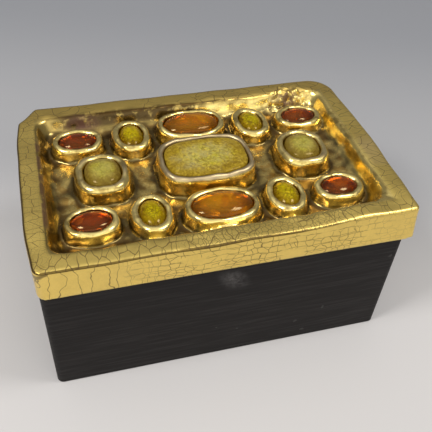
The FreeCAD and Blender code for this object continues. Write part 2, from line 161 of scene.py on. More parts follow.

# Kinds of stone: how square in plan and how flat on top they are, and what shows in the glass.
# girdle_shade_share is how strongly painted shade darkens a stone's girdle.
STONE_KINDS = {
    "centre": {"nodes": ("centre_stone",), "slot": "olive_glass",
               "plan_share": 0.64, "dome_share": 0.3,
               "clear_share": 0.0, "fleck_share": 0.6, "frost_share": 0.8, "vein_share": 0.35,
               "vein_cell": 2.2 * MM, "girdle_shade_share": 0.25},
    "cushion": {"nodes": ("cushion_stone_left", "cushion_stone_right"), "slot": "pale_green_glass",
                "plan_share": 0.85, "dome_share": 0.75,
                "clear_share": 0.0, "fleck_share": 0.4, "frost_share": 0.4, "vein_share": 0.35,
                "vein_cell": 1.4 * MM, "girdle_shade_share": 0.5},
    "long": {"nodes": ("long_stone_back", "long_stone_front"), "slot": "honey_glass",
             "plan_share": 0.95, "dome_share": 0.9,
             "clear_share": 0.85, "fleck_share": 0.12, "frost_share": 0.0, "vein_share": 0.1,
             "vein_cell": 3.0 * MM, "girdle_shade_share": 0.5},
    "upright": {"nodes": ("upright_stone_back_left", "upright_stone_back_right",
                          "upright_stone_front_left", "upright_stone_front_right"),
                "slot": "lime_glass", "plan_share": 1.0, "dome_share": 0.95,
                "clear_share": 0.5, "fleck_share": 0.7, "frost_share": 0.0, "vein_share": 0.6,
                "vein_cell": 1.5 * MM, "girdle_shade_share": 0.55},
    "corner": {"nodes": ("corner_stone_back_left", "corner_stone_back_right",
                         "corner_stone_front_left", "corner_stone_front_right"),
               "slot": "amber_glass", "plan_share": 1.0, "dome_share": 0.95,
               "clear_share": 0.9, "fleck_share": 0.08, "frost_share": 0.0, "vein_share": 0.1,
               "vein_cell": 3.0 * MM, "girdle_shade_share": 0.6},
}


def length(name, description, millimetres):
    """Return a property for a length, given in millimetres."""
    return FloatProperty(name=name, description=description, default=millimetres * MM,
                         unit="LENGTH")


def colour(name, description, value):
    """Return a property for a colour."""
    return FloatVectorProperty(name=name, description=description, default=value, size=3,
                               min=0.0, soft_max=1.0, subtype="COLOR")


class TileSizes(bpy.types.PropertyGroup):
    """Sizes of the ceramic lid tile and its collars."""

    thickness: length("Thickness", "From the underside to the rim", 15.8)
    rim_width: length("Rim width", "Flat rim round the tray", 9.0)
    tray_depth: length("Tray depth", "From the rim down to the tray floor", 7.5)
    tray_run: length("Tray wall run", "How far a tray wall leans in", 3.8)
    tray_round: length("Tray corner", "Round of the tray's corners", 5.0)
    wide_round: length("Wide tray corner", "Round of the tray's front right corner", 9.0)
    tray_edge: length("Tray edge", "Round where the rim meets the tray", 1.5)
    left_round: length("Left corner", "Round of the tile's front left corner", 4.0)
    right_round: length("Right corner", "Round of the tile's front right corner", 1.8)
    back_round: length("Back corner", "Round of the tile's back right corner", 11.0)
    left_bow: length("Left bow", "How far the left side bulges between its corners", 2.2)
    right_bow: length("Right bow", "How far the right side bulges between its corners", 1.2)
    cove: length("Cove", "Round where the tray's walls meet its floor", 3.0)
    clipped_leg: length("Clipped corner", "Leg of the back left corner's cut at the rim", 10.0)
    clipped_lean: length("Clipped lean", "How much shorter that leg is at the underside", 3.5)
    gap: length("Gap", "Between a stone and its collar", 0.4)
    bulge: length("Bulge", "How far a collar's side stands out past its lip", 0.5)
    flare: length("Flare", "How far a collar's foot spreads past its side", 0.9)
    well_depth: length("Well depth", "From a collar's lip to the stone's seat", 3.4)
    centre_height: length("Centre collar height", "Lip above the tray floor", 9.6)
    cushion_height: length("Cushion collar height", "Lip above the tray floor", 8.3)
    long_height: length("Long collar height", "Lip above the tray floor", 6.9)
    upright_height: length("Upright collar height", "Lip above the tray floor", 5.9)
    corner_height: length("Corner collar height", "Lip above the tray floor", 5.9)
    centre_lip: length("Centre lip", "Width of the collar's rounded lip", 2.4)
    cushion_lip: length("Cushion lip", "Width of a collar's rounded lip", 3.3)
    long_lip: length("Long lip", "Width of a collar's rounded lip", 2.2)
    upright_lip: length("Upright lip", "Width of a collar's rounded lip", 2.5)
    corner_lip: length("Corner lip", "Width of a collar's rounded lip", 1.9)
    shrinkage: length("Shrinkage", "Height that a lip loses when the clay is smoothed", 0.4)
    voxel: length("Voxel", "Grain of the fused clay", 0.68)
    unevenness: length("Unevenness", "How far the hand-shaped surface wanders", 0.35)
    lumps: length("Lumps", "How far the glaze in the tray stands in lumps", 0.4)
    rim_rise: length("Rim rise", "How far the rim lifts at the front right", 1.7)


class GildingColours(bpy.types.PropertyGroup):
    """Colours of the gilded crackle glaze."""

    gold: colour("Gold", "Rim and skirt", (0.97, 0.715, 0.195))
    tray_gold: colour("Tray gold", "Gold in the tray", (0.95, 0.735, 0.25))
    # The stain in the crackle, also used for painted shade on the rim's outer edge.
    crack_and_edge_shade: colour("Crack", "Stain in the crackle", (0.06, 0.03, 0.008))
    # Brown for thin or soiled gilding, also painted as shade over the back of the rim.
    worn_and_back_shade: colour("Worn", "Brown where the gilding is thin or soiled", (0.40, 0.22, 0.05))
    stain: colour("Stain", "Bare reddish glaze", (0.10, 0.038, 0.02))
    # Painted shade in the tray's hollows, and the burnt band on its back wall.
    hollow_shade_and_burn: colour("Dirt", "Hollows and burnt band of the tray", (0.045, 0.026, 0.014))
    # Tarnished brown, also painted as shade for dark reflections in the tray.
    tarnish_and_shade: colour("Tarnish", "Brown gold on the walls and the collars", (0.29, 0.18, 0.04))
    silver: colour("Silver", "Rubbed lip of the centre collar", (0.40, 0.31, 0.21))
    # Pale gold is a painted highlight on the collars' upward-facing lips.
    pale: colour("Pale gold", "Hint on the lips of the collars", (0.97, 0.84, 0.56))


class StoneColours(bpy.types.PropertyGroup):
    """Colours of the glass stones."""

    centre: colour("Centre stone", "Crackled olive glass", (0.32, 0.22, 0.015))
    cushion: colour("Cushion stones", "Pale green glass", (0.25, 0.18, 0.022))
    long: colour("Long stones", "Honey glass", (0.59, 0.235, 0.002))
    upright: colour("Upright stones", "Flecked lime glass", (0.46, 0.31, 0.0))
    corner: colour("Corner stones", "Amber glass", (0.38, 0.072, 0.003))
    frost: colour("Frost", "Grey-green clouds in the centre and cushion stones", (0.31, 0.26, 0.10))


class WoodColours(bpy.types.PropertyGroup):
    """Colours of the stained wood and the lining."""

    stain: colour("Stain", "Black stain in the grain", (0.009, 0.0071, 0.0064))
    ridge: colour("Ridge", "Where brushing has thinned the stain", (0.0145, 0.0118, 0.0108))
    scuff: colour("Scuff", "Pale rubbed marks", (0.22, 0.205, 0.195))
    felt: colour("Felt", "Lining", (0.012, 0.012, 0.013))


class StageLook(bpy.types.PropertyGroup):
    """Floor, lamps and camera."""

    floor_near: colour("Near floor", "Floor before the box", (0.54, 0.516, 0.499))
    # The far colour is painted shade: the floor's light falling off behind the box.
    floor_far_shade: colour("Far floor", "Floor behind the box", (0.262, 0.265, 0.279))
    room_low: colour("Low room", "Grey of the room at eye level", (0.23, 0.23, 0.235))
    room_high: colour("High room", "Grey of the room overhead", (0.8, 0.8, 0.8))
    room_front: colour("Front room", "Pale wall high behind the camera", (1.5, 1.5, 1.5))
    lamp_width: length("Lamp width", "Side of a softbox", 210.0)
    lens: FloatProperty(name="Lens", description="Focal length of the camera", default=52.385,
                        unit="CAMERA")


class Value:
    """A shader output that Python's operators can work with."""

    def __init__(self, finish, socket):
        self.finish = finish
        self.socket = socket

    def maths(self, operation, first, second=0.0):
        """Return what a maths node makes of two values."""
        return self.finish.node("ShaderNodeMath", {"operation": operation}, {0: first, 1: second})

    def __add__(self, other):
        return self.maths("ADD", self, other)

    def __radd__(self, other):
        return self.maths("ADD", other, self)

    def __sub__(self, other):
        return self.maths("SUBTRACT", self, other)

    def __rsub__(self, other):
        return self.maths("SUBTRACT", other, self)

    def __mul__(self, other):
        return self.maths("MULTIPLY", self, other)

    def __rmul__(self, other):
        return self.maths("MULTIPLY", other, self)

    def __abs__(self):
        return self.maths("ABSOLUTE", self)


class Nodes:
    """A node tree that is written as Python expressions."""

    def __init__(self, tree, place):
        self.tree = tree
        self.tree.nodes.clear()
        self.place = self.node("ShaderNodeTexCoord", output=place)
        self.x, self.y, self.z = self.axes(self.place)

    def node(self, kind, settings=None, values=None, output=0):
        """Add a node, set it up, feed its inputs and return one of its outputs."""
        node = self.tree.nodes.new(kind)
        for name, setting in (settings or {}).items():
            setattr(node, name, setting)
        for name, value in (values or {}).items():
            if isinstance(value, Value):
                self.tree.links.new(value.socket, node.inputs[name])
            else:
                node.inputs[name].default_value = value
        return Value(self, node.outputs[output])

    def attribute(self, name, output="Fac"):
        """Return what the mesh stores under a name."""
        return self.node("ShaderNodeAttribute", {"attribute_name": name}, output=output)

    def axes(self, vector):
        """Return a vector's three numbers."""
        split = self.node("ShaderNodeSeparateXYZ", values={"Vector": vector})
        return tuple(Value(self, socket) for socket in split.socket.node.outputs)

    def step(self, value, start, end):
        """Return a smooth rise from 0 at start to 1 at end."""
        return self.node("ShaderNodeMapRange", {"interpolation_type": "SMOOTHSTEP"},
                         {"Value": value, "From Min": start, "From Max": end})

    def near(self, value, centre, reach):
        """Return 1 at the centre that fades to 0 at the reach."""
        return self.step(abs(value - centre), reach, 0.0)

    def greater(self, first, second):
        """Return the greater of two values."""
        return first.maths("MAXIMUM", first, second)

    def stretch(self, x, y, z):
        """Return the place with each axis multiplied."""
        return self.node("ShaderNodeVectorMath", {"operation": "MULTIPLY"},
                         {0: self.place, 1: (x, y, z)})

    def noise(self, size, detail=3.0, roughness=0.5, place=None):
        """Return cloudy noise whose clouds have this size."""
        return self.node("ShaderNodeTexNoise", values={
            "Vector": place or self.place, "Scale": 1.0 / size, "Detail": detail,
            "Roughness": roughness})

    def warp(self, size, amount):
        """Return the place, pushed about by noise."""
        push = self.node("ShaderNodeTexNoise", values={"Vector": self.place, "Scale": 1.0 / size},
                         output="Color")
        centred = self.node("ShaderNodeVectorMath", {"operation": "SUBTRACT"},
                            {0: push, 1: (0.5,) * 3})
        return self.node("ShaderNodeVectorMath", {"operation": "MULTIPLY_ADD"},
                         {0: centred, 1: (amount,) * 3, 2: self.place})

    def pair(self, first, second):
        """Return two values as a flat place."""
        return self.node("ShaderNodeCombineXYZ", values={"X": first, "Y": second})

    def seams(self, size, width, randomness, place, flat=True):
        """Return 1 on the seams between cells of this size, and 0 elsewhere."""
        gap = self.node("ShaderNodeTexVoronoi", {
            "feature": "DISTANCE_TO_EDGE", "voronoi_dimensions": "2D" if flat else "3D"}, {
            "Vector": place, "Scale": 1.0 / size, "Randomness": randomness})
        return self.step(gap, width / size, 0.3 * width / size)

    def courses(self, width, height, joint, place):
        """Return 1 on the joints between staggered courses, all in millimetres, and 0 elsewhere."""
        settings = {"offset": 0.37, "squash": 1.6, "squash_frequency": 3}
        return self.node("ShaderNodeTexBrick", settings, {
            "Vector": place, "Scale": 1 / MM, "Brick Width": width, "Row Height": height,
            "Mortar Size": joint, "Mortar Smooth": 0.4}, output="Fac")

    def specks(self, size, place=None):
        """Return a random brightness for each small cell."""
        cell = self.node("ShaderNodeTexVoronoi", values={
            "Vector": place or self.place, "Scale": 1.0 / size}, output="Color")
        return self.axes(cell)[0]

    def mix(self, factor, first, second):
        """Return a blend of two colours."""
        opaque = [shade if isinstance(shade, Value) else (*shade, 1.0) for shade in (first, second)]
        return self.node("ShaderNodeMix", {"data_type": "RGBA"},
                         {0: factor, 6: opaque[0], 7: opaque[1]}, output=2)

    def coats(self, base, layers):
        """Return a colour with others laid over it in order, each by its own mask."""
        for mask, shade in layers:
            base = self.mix(mask, base, shade)
        return base

    def bump(self, height):
        """Return normals for a height in millimetres."""
        return self.node("ShaderNodeBump", values={"Height": height, "Distance": MM})

    def end(self, kind, shader):
        """Link a shader to the tree's output."""
        output = self.tree.nodes.new(kind)
        self.tree.links.new(shader.socket, output.inputs["Surface"])


class Finish(Nodes):
    """One material and the nodes that make it."""

    def __init__(self, name):
        self.material = bpy.data.materials.new(name)
        self.material.use_nodes = True
        super().__init__(self.material.node_tree, "Object")

    def surface(self, inputs):
        """Feed the shader, end the material and return it."""
        shader = self.node("ShaderNodeBsdfPrincipled", values=inputs)
        self.end("ShaderNodeOutputMaterial", shader)
        return self.material


def rim_height(tile):
    """Return the height of the tile's rim."""
    return TILE_LOW.z + tile.thickness


def floor_height(tile):
    """Return the height of the tray's floor."""
    return rim_height(tile) - tile.tray_depth


class TileZones:
    """The parts of the tile, as masks that the gilding is written with."""

    def __init__(self, finish, tile):
        self.rim_z = rim_height(tile)
        self.floor_z = floor_height(tile)
        self.tray_x = TILE_HIGH.x - tile.rim_width - 0.9 * MM
        tray_y = TILE_HIGH.y - tile.rim_width - 0.6 * MM
        self.upward = finish.attribute(UPWARD)
        self.inside = (finish.step(abs(finish.x), self.tray_x + 1 * MM, self.tray_x - 1 * MM)
                       * finish.step(abs(finish.y), tray_y + 1 * MM, tray_y - 1 * MM))
        self.skirt = finish.step(self.upward, 0.6, 0.35) * (1 - self.inside)
        self.rim = (1 - self.inside) * (1 - self.skirt)
        low = finish.step(finish.z, self.floor_z + 2 * MM, self.floor_z + 0.6 * MM)
        self.floor = self.inside * low * finish.step(self.upward, 0.8, 0.95)


def crackle(finish, zones):
    """Return the crackle: radial on the rim, finer at its front right and left, and the skirt's."""
    bent_x, bent_y, bent_z = finish.axes(finish.warp(8 * MM, 5 * MM))
    patch = finish.noise(22 * MM, 2.0)
    front = finish.step(finish.y, -36 * MM, -44 * MM)
    on_front = finish.seams(3.8 * MM, 0.2 * MM, 1.0, finish.pair(bent_x, 0.5 * bent_y))
    elsewhere = finish.seams(3.8 * MM, 0.16 * MM, 1.0, finish.pair(0.5 * bent_x, bent_y))
    radial = front * on_front + (1 - front) * elsewhere
    fine = finish.seams(1.9 * MM, 0.15 * MM, 0.9, finish.pair(bent_x, bent_y))
    front_right = front * finish.step(abs(finish.x + 20 * MM * patch - 25 * MM), 42 * MM, 28 * MM)
    left = finish.step(finish.x, -66 * MM, -73 * MM)
    on_rim = finish.greater(radial * finish.step(patch, 0.3, 0.42),
                            fine * finish.greater(front_right, 0.5 * left))
    on_skirt = skirt_cracks(finish, bent_x + bent_y, bent_z)
    return zones.rim * on_rim + 0.3 * zones.floor * fine + 0.9 * zones.skirt * on_skirt


def skirt_cracks(finish, run, bent_z):
    """Return the skirt's crackle: tall cracks on the left, near-square cells further right."""
    unrolled = finish.pair(run, 0.5 * bent_z + 0.5 * finish.z)
    patch = finish.noise(7 * MM, 2.0)
    tall = finish.seams(6.5 * MM, 0.17 * MM, 1.0, finish.pair(run, 0.15 * bent_z))
    rows = finish.courses(70.0, 3.1, 0.14, unrolled) * finish.step(patch, 0.34, 0.46)
    posts = finish.seams(3.4 * MM, 0.18 * MM, 0.7, unrolled) * finish.step(patch, 0.4, 0.52)
    squared = finish.step(finish.x + 50 * MM * patch, -30 * MM, 5 * MM)
    plain = finish.step(finish.x, 45 * MM, 70 * MM)
    cells = finish.greater(rows, posts) * (1 - 0.7 * plain)
    return finish.greater(tall * (1 - squared), cells * squared)


def edge_shade_line(finish, zones, cloud):
    """Return painted shade on the rim's rounded outer edge, which fades to the right, where the
    edge is lit.
    """
    wander = zones.upward + 0.15 * (finish.noise(5 * MM) - 0.5)
    faded = finish.step(finish.x + 50 * MM * cloud, 80 * MM, 45 * MM)
    return finish.step(abs(wander - 0.6), 0.39, 0.27) * faded * (1 - zones.inside)


def bare_spots(finish, zones):
    """Return the bare reddish spots: inner left edge, tray's back wall and crawled patch."""
    ragged = finish.step(finish.noise(4 * MM), 0.34, 0.48)
    inner_edge = (finish.step(abs(finish.x + zones.tray_x), 1.3 * MM, 0.6 * MM)
                  * finish.step(abs(finish.y), 31 * MM, 25 * MM))
    back_wall = finish.near(finish.x, -50 * MM, 12 * MM) * finish.near(finish.y, 40.5 * MM, 4 * MM)
    crawled = (finish.near(finish.x, CRAWL_X, 14 * MM) * finish.near(finish.y, CRAWL_Y, 9 * MM)
               * finish.step(finish.noise(2.4 * MM, 2.0), 0.56, 0.44))
    return finish.greater(finish.greater(inner_edge, back_wall) * ragged, crawled)


def tarnished_and_shaded_gold(finish, zones):
    """Return the tray's tarnished blotches and painted shade, most at the left, back left and front
    left.
    """
    blotch = finish.noise(5 * MM, 4.0, 0.6)
    left_wall = finish.step(finish.x, -63 * MM, -67 * MM)
    back_wall = finish.step(finish.y, 37 * MM, 39.5 * MM) * finish.step(finish.x, 14 * MM, -6 * MM)
    corner = finish.near(finish.x, -66 * MM, 12 * MM) * finish.near(finish.y, -33 * MM, 16 * MM)
    # Painted shade, deepest at the left wall, the back wall's left and the front left corner.
    deepest_shade = finish.greater(corner, finish.greater(0.7 * left_wall, back_wall))
    return zones.inside * (1 - zones.floor) * finish.step(blotch + 0.35 * deepest_shade, 0.48, 0.66)


def burnt_band(finish):
    """Return the dark band along the left and middle of the tray's back wall."""
    band = finish.step(abs(finish.y - 41.8 * MM), 3.6 * MM, 1.2 * MM)
    reach = finish.step(abs(finish.x + 27 * MM), 42 * MM, 28 * MM)
    return band * reach * finish.step(finish.noise(5 * MM, 4.0, 0.6), 0.32, 0.48)


def painted_hollow_shade(finish, zones, cloud):
    """Return painted shade in the hollows near the tray's floor, round the collars' feet."""
    low = finish.step(finish.z, zones.floor_z + 3 * MM, zones.floor_z + 1.2 * MM)
    return low * finish.step(finish.attribute(HOLLOW) + 0.3 * MM * (cloud - 0.5), 0.0, 0.35 * MM)


def lip_highlight(finish, zones):
    """Return the level lips of the collars, which take a pale painted highlight."""
    raised = finish.step(finish.z, zones.floor_z + 3.5 * MM, zones.floor_z + 5 * MM)
    off_walls = (finish.step(abs(finish.x), 67 * MM, 64 * MM)
                 * finish.step(abs(finish.y), 40.5 * MM, 39 * MM))
    return finish.step(zones.upward, 0.72, 0.95) * raised * off_walls


def rubbed_lip(finish, zones):
    """Return the lip of the centre collar, which stands above the rim."""
    raised = finish.step(finish.z, zones.rim_z + 0.7 * MM, zones.rim_z + 1.6 * MM)
    return raised * finish.step(abs(finish.y), 22 * MM, 18 * MM)


def thin_gilding(finish, zones):
    """Return how thin the gilding of the tray's floor is."""
    return zones.floor * (0.4 + 0.6 * finish.step(finish.noise(6 * MM, 5.0, 0.7), 0.42, 0.56))


def soiled_and_shaded_rim(finish, zones):
    """Return how the rim darkens: soiled in spots all round, and painted shade all over at the
    back.
    """
    spots = finish.step(finish.noise(4 * MM, 5.0, 0.7), 0.48, 0.68)
    # Painted shade: the back of the rim darkened, where it reflects a darker room.
    back = finish.step(finish.y, 30 * MM, 44 * MM)
    return zones.rim * finish.greater(0.16 * spots, 0.3 * back)


def gilded_glaze(tile, colours):
    """Return the crackled gilding: satin on rim and skirt, glossier and thinner in the tray, with
    painted shade and highlights.
    """
    finish = Finish("gilded_glaze")
    zones = TileZones(finish, tile)
    cloud = finish.noise(14 * MM, 4.0)
    tone = finish.step(finish.noise(9 * MM, 5.0, 0.65), 0.35, 0.7)
    grain = finish.noise(0.7 * MM, 2.0)
    cracks = crackle(finish, zones)
    bare = bare_spots(finish, zones)
    thin = thin_gilding(finish, zones)
    rubbed = rubbed_lip(finish, zones)
    # Painted shade in the hollows near the floor, with the burnt band.
    dark = finish.greater(0.8 * painted_hollow_shade(finish, zones, cloud), 0.9 * burnt_band(finish))
    gold = finish.coats(colours.gold, (
        (tone, [0.92 * part for part in colours.gold]),
        (zones.inside, colours.tray_gold),
        (0.2 * grain, colours.tarnish_and_shade),
        # Painted highlight on the collars' lips.
        (0.1 * lip_highlight(finish, zones), colours.pale),
        # Tarnished blotches with painted shade on the tray's walls and collars.
        (0.6 * tarnished_and_shaded_gold(finish, zones), colours.tarnish_and_shade),
        # Thin gilding, soiled spots, and painted shade at the back of the rim.
        (finish.greater(0.85 * thin, soiled_and_shaded_rim(finish, zones)), colours.worn_and_back_shade),
        (0.75 * rubbed, colours.silver),
        # Painted shade in the hollows, and the burnt band.
        (dark, colours.hollow_shade_and_burn),
        (0.9 * bare, colours.stain),
        # Painted shade along the rim's outer edge.
        (0.85 * edge_shade_line(finish, zones, cloud), colours.crack_and_edge_shade),
        (0.82 * cracks, colours.crack_and_edge_shade)))
    satin = (0.31 - 0.08 * zones.inside + 0.14 * (cloud - 0.5) + 0.06 * thin + 0.2 * bare
             + 0.15 * rubbed)
    depth = 0.05 + 0.09 * zones.inside + 0.07 * zones.floor
    ripples = finish.noise(4 * MM, 4.0, 0.6) * depth + 0.006 * grain
    metal = 1 - finish.greater(0.6 * bare, 0.4 * cracks)
    return finish.surface({"Base Color": gold, "Metallic": metal, "Roughness": satin,
                           "Normal": finish.bump(ripples)})


def streaks(finish, across, along, along_y, detail, roughness):
    """Return noise drawn out along the grain: so many streaks per metre across it and along it."""
    per_metre = (across, along, across) if along_y else (along, across, across)
    return finish.noise(1.0, detail, roughness, finish.stretch(*per_metre))


def front_smudge(finish):
    """Return the pale smudge near the top of the front board."""
    fog = finish.noise(3 * MM, 4.0, 0.7)
    on_front = finish.step(finish.y, -44 * MM, -48 * MM)
    spot = (finish.near(finish.x + 0.4 * finish.z, 21.6 * MM, 7.5 * MM)
            * finish.near(finish.z, 52.6 * MM, 8 * MM))
    return spot * finish.step(fog, 0.2, 0.8) * on_front


def stained_wood(name, colours, along_y=False, smudged=False):
    """Return black-stained wood whose grain has been brushed."""
    finish = Finish(name)
    grain = streaks(finish, *GRAIN_STREAKS, along_y, 3.0, 0.6)
    band = streaks(finish, *BAND_STREAKS, along_y, 2.0, 0.5)
    ridge = finish.step(grain, 0.4, 0.75)
    shade = finish.mix(ridge * (0.8 + 0.2 * band), colours.stain, colours.ridge)
    if smudged:
        shade = finish.mix(0.6 * front_smudge(finish), shade, colours.scuff)
    dust = finish.step(finish.specks(1.6 * MM), 0.998, 0.999)
    shade = finish.mix(0.12 * dust, shade, colours.scuff)
    return finish.surface({"Base Color": shade, "Roughness": 0.62 - 0.16 * ridge,
                           "Specular IOR Level": 0.2, "Normal": finish.bump(0.07 * grain)})


def felt_cloth(colours):
    """Return pressed felt."""
    finish = Finish("black_felt")
    fibre = finish.noise(0.5 * MM, 4.0, 0.7, finish.warp(3 * MM, 1.5 * MM))
    nap = finish.noise(12 * MM, 2.0)
    pale = [2.2 * part for part in colours.felt]
    shade = finish.mix(fibre * (0.5 + 0.5 * nap), colours.felt, pale)
    return finish.surface({"Base Color": shade, "Roughness": 0.9 + 0.1 * fibre, "Sheen Weight": 0.4,
                           "Sheen Roughness": 0.5, "Normal": finish.bump(fibre * 0.2)})


def glass(kind, colours):
    """Return tinted glass: a painted, glowing middle, painted shade at the girdle, veins, clouds
    and flecks.
    """
    shares = STONE_KINDS[kind]
    body = getattr(colours, kind)
    painted_glow = [gain * part for gain, part in zip(PAINTED_GLOW_GAINS, body)]
    deep_and_edge_shade = [gain * part for gain, part in zip(DEEP_AND_SHADE_GAINS, body)]
    pale = [min(1.0, 1.9 * part + 0.02) for part in body]
    finish = Finish(shares["slot"])
    across, along, _ = finish.axes(finish.attribute(IN_STONE, "Vector"))
    spread = across * across + along * along
    cloud = finish.noise(6 * MM, 4.0, 0.6)
    bent = finish.warp(4 * MM, 3 * MM)
    veins = finish.seams(shares["vein_cell"], 0.22 * MM, 1.0, bent, flat=False)
    fleck = finish.step(finish.specks(0.8 * MM, bent), 0.6, 1.0)
    grit = finish.step(finish.specks(1.2 * MM, bent), 0.4, 1.0)
    # Painted glowing middle, with the body colour further out.
    shade = finish.coats(painted_glow, (
        (finish.step(spread + 0.8 * (cloud - 0.5), 0.0, 0.6), body),
        (shares["frost_share"] * finish.step(cloud - 0.4 * spread, 0.1, 0.6), colours.frost),
        (0.7 * shares["fleck_share"] * fleck, pale),
        (0.6 * shares["fleck_share"] * grit, deep_and_edge_shade),
        (shares["vein_share"] * veins * finish.step(cloud, 0.65, 0.4), deep_and_edge_shade),
        # Painted shade that darkens each stone's girdle.
        (shares["girdle_shade_share"] * finish.step(spread, 0.22, 0.9), deep_and_edge_shade)))
    roughness = 0.1 + 0.1 * shares["fleck_share"] * fleck
    return finish.surface({"Base Color": shade, "Roughness": roughness, "IOR": 1.45,
                           "Specular IOR Level": 0.22, "Specular Tint": HIGHLIGHT_TINT,
                           "Transmission Weight": shares["clear_share"]})


def pale_floor(look):
    """Return the studio floor, with painted shade that darkens it going back and to the right."""
    finish = Finish("studio_floor")
    away = finish.y + 0.3 * finish.x
    # Painted shade: two steps of darkening, behind the box and further back.
    far = 0.72 * finish.step(away, -0.02, 0.1) + 0.28 * finish.step(away, 0.12, 0.3)
    grain = finish.noise(2 * MM, 2.0)
    shade = finish.mix(far, look.floor_near, look.floor_far_shade)
    return finish.surface({"Base Color": shade, "Roughness": 0.8 + 0.05 * grain})


def grey_room(look):
    """Return the room's light: dim at eye level, brighter overhead, brightest behind the camera."""
    world = bpy.data.worlds.new("grey_room")
    world.use_nodes = True
    room = Nodes(world.node_tree, "Generated")
    overhead = room.step(room.z, 0.58, 0.95)
    front_wall = room.step(room.y, -0.35, -0.8) * room.step(room.z, 0.12, 0.35)
    shade = room.coats(look.room_low, ((overhead, look.room_high), (front_wall, look.room_front)))
    room.end("ShaderNodeOutputWorld", room.node("ShaderNodeBackground", values={"Color": shade}))
    return world


def new_piece(name, bm, material):
    """Turn a bmesh into a smooth object with its material."""
    for face in bm.faces:
        face.smooth = True
    mesh = bpy.data.meshes.new(name)
    bm.to_mesh(mesh)
    bm.free()
    mesh.materials.append(material)
    piece = bpy.data.objects.new(name, mesh)
    bpy.context.scene.collection.objects.link(piece)
    return piece


def dress_node(name, material):
    """Give a CAD node its finish."""
    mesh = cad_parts[name].data
    mesh.materials.clear()
    mesh.materials.append(material)


def swell(point, plan_share, dome_share=1.0):
    """Return a point of the unit ball, moved onto a squarer and flatter ball."""
    across = math.hypot(point.x, point.y)
    ring = across ** dome_share
    height = math.copysign(abs(point.z) ** dome_share, point.z)
    if across < 1e-9:
        return Vector((0.0, 0.0, height))
    x, y = point.x / across, point.y / across
    return Vector((math.copysign(abs(x) ** plan_share, x) * ring,
                   math.copysign(abs(y) ** plan_share, y) * ring, height))


def add_ring(bm, middle, half, plan_share, z, capped=False):
    """Add one closed outline of a collar and return its edges."""
    before = set(bm.edges)
    ring = bmesh.ops.create_circle(bm, cap_ends=capped, segments=RING_SEGMENTS, radius=1.0)
    for vert in ring["verts"]:
        spot = swell(vert.co, plan_share)
        vert.co = (middle.x + half.x * spot.x, middle.y + half.y * spot.y, z)
    return [edge for edge in bm.edges if edge not in before]


def stone_reach(node, dome_share, z):
    """Return half a stone's length and width at a height."""
    low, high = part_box(node)
    girdle_z = low.z + SEAT_SHARE / (1 + SEAT_SHARE) * (high.z - low.z)
    rise = min(1.0, max(0.0, (z - girdle_z) / (high.z - girdle_z)))
    return (high - low) / 2 * (1 - rise ** (2 / dome_share)) ** (dome_share / 2)


def collar_outlines(node, kind, tile):
    """Return a collar's outlines, foot to well: half the stone, spread, height and plan share."""
    low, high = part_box(node)
    shares = STONE_KINDS[kind]
    floor_z = floor_height(tile)
    top = floor_z + getattr(tile, f"{kind}_height")
    crest = top + tile.shrinkage
    waist = floor_z + WAIST_SHARE * (crest - floor_z)
    lip = getattr(tile, f"{kind}_lip")
    side = lip + tile.bulge
    crown = CROWN_SHARE * lip
    girdle = (high - low) / 2
    inner_share = shares["plan_share"]
    outer_share = SQUARER_SHARE * inner_share
    outlines = [(girdle, side + tile.flare, floor_z - FOOT_SINK, outer_share),
                (girdle, side + FLARE_SHARE * tile.flare, floor_z + FOOT_RISE, outer_share)]
    for turn in LIP_TURNS:
        angle = math.radians(turn)
        spot = swell(Vector((math.cos(angle), 0, math.sin(angle))), 1.0, LIP_SHARE)
        spread = crown + (side - crown) * spot.x
        outlines.append((girdle, spread, waist + (crest - waist) * spot.z, outer_share))
    for drop_share in DROP_SHARES:
        z = crest - drop_share * lip
        outlines.append((stone_reach(node, shares["dome_share"], z), 0.0, z, inner_share))
    outlines.append((girdle, 0.0, top - tile.well_depth, inner_share))
    return outlines


def add_collar(bm, node, kind, tile):
    """Add the cup that holds one stone, as rings bridged from foot over the lip to the well."""
    low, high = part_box(node)
    outlines = collar_outlines(node, kind, tile)
    rings = []
    for half, spread, z, plan_share in outlines:
        reach = half + Vector((tile.gap + spread, tile.gap + spread, 0))
        is_end = len(rings) in (0, len(outlines) - 1)
        rings.append(add_ring(bm, (low + high) / 2, reach, plan_share, z, capped=is_end))
    for ring, following in zip(rings, rings[1:]):
        bmesh.ops.bridge_loops(bm, edges=ring + following)


def add_slab(bm, tile):
    """Add the slab: four slightly uneven sides, a rim and a tray with leaning walls."""
    rim_z = rim_height(tile)
    cube = bmesh.ops.create_cube(bm, size=1.0)
    for vert in cube["verts"]:
        is_top = vert.co.z > 0
        corners = RIM_CORNERS if is_top else FOOT_CORNERS
        x, y = corners[vert.co.x > 0, vert.co.y > 0]
        vert.co = (x * MM, y * MM, rim_z if is_top else TILE_LOW.z)
    top = max(bm.faces, key=lambda face: face.calc_center_median().z)
    bmesh.ops.inset_individual(bm, faces=[top], thickness=tile.rim_width, use_even_offset=True)
    tray = bmesh.ops.extrude_discrete_faces(bm, faces=[top])["faces"][0]
    bmesh.ops.translate(bm, verts=tray.verts, vec=(0, 0, -tile.tray_depth))
    shrunk = [1 - tile.tray_run / (side - tile.rim_width) for side in TILE_HIGH.xy]
    bmesh.ops.scale(bm, verts=tray.verts, vec=(*shrunk, 1))
    round_corners(bm, tile)
    round_level_edges(bm, floor_height(tile), tile.cove)
    round_level_edges(bm, rim_z, tile.tray_edge)


